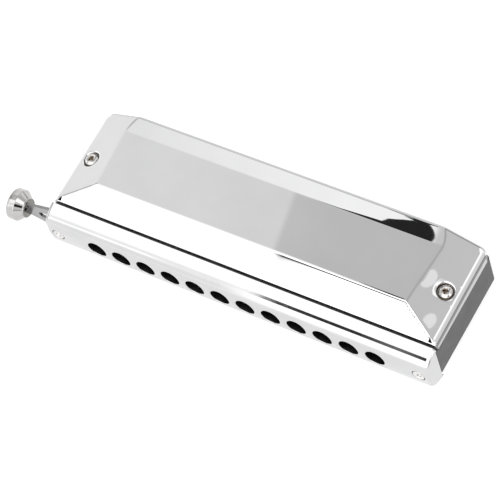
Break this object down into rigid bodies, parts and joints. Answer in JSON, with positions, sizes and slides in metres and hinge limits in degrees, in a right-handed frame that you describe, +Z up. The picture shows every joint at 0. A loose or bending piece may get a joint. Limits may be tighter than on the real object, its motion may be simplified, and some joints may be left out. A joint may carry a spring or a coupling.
{
  "type": "chromatic harmonica",
  "caption": "Chromatic harmonica with stamped metal covers, a rounded mouthpiece with a row of round holes, and a sprung side slide worked by a turned knob.",
  "frame": {"origin": "on the flat plateau of the lower cover, under the middle of the row of mouth holes' length, 26 mm behind the mouthpiece's front face", "axes": "+X along the instrument away from the slide's knob, +Y from the mouthpiece to the open rear, +Z up"},
  "size_m": [0.1621, 0.045, 0.0307],
  "materials": {
    "comb": "dark moulded plastic, satin",
    "reed_plate": "ground brass",
    "reed": "rolled brass with fine file marks",
    "valve": "thin translucent plastic strip",
    "cover": "polished plated sheet",
    "mouthpiece": "polished plate",
    "knob": "turned and plated",
    "slide": "lapped steel sheet",
    "slide_guide": "lapped steel sheet",
    "screw": "nickel-plated steel",
    "bumper": "soft tube",
    "spring": "spring steel strip"
  },
  "bodies": {
    "harmonica": {"comb": "comb", "upper_reed_plate": "reed_plate", "lower_reed_plate": "reed_plate", "upper_draw_reeds": "reed", "lower_draw_reeds": "reed", "upper_blow_reeds": "reed", "lower_blow_reeds": "reed", "upper_inner_valves": "valve", "lower_inner_valves": "valve", "upper_outer_valves": "valve", "lower_outer_valves": "valve", "upper_cover": "cover", "lower_cover": "cover", "cover_screws": "screw", "mouthpiece": "mouthpiece", "mouthpiece_screws": "screw", "slide_cage": "slide_guide", "slide_back_plate": "slide_guide", "slide_bumpers": "bumper", "slide_spring": "spring"},
    "slide": {"slide": "slide", "slide_knob": "knob"}
  },
  "joints": [
    {"name": "slide_press", "type": "slide", "parent": "harmonica", "child": "slide", "axis": [1, 0, 0], "range_m": [0, 0.0048], "stiffness_N_per_m": 400, "springref_m": -0.003, "deforming": ["slide_spring"]}
  ]
}
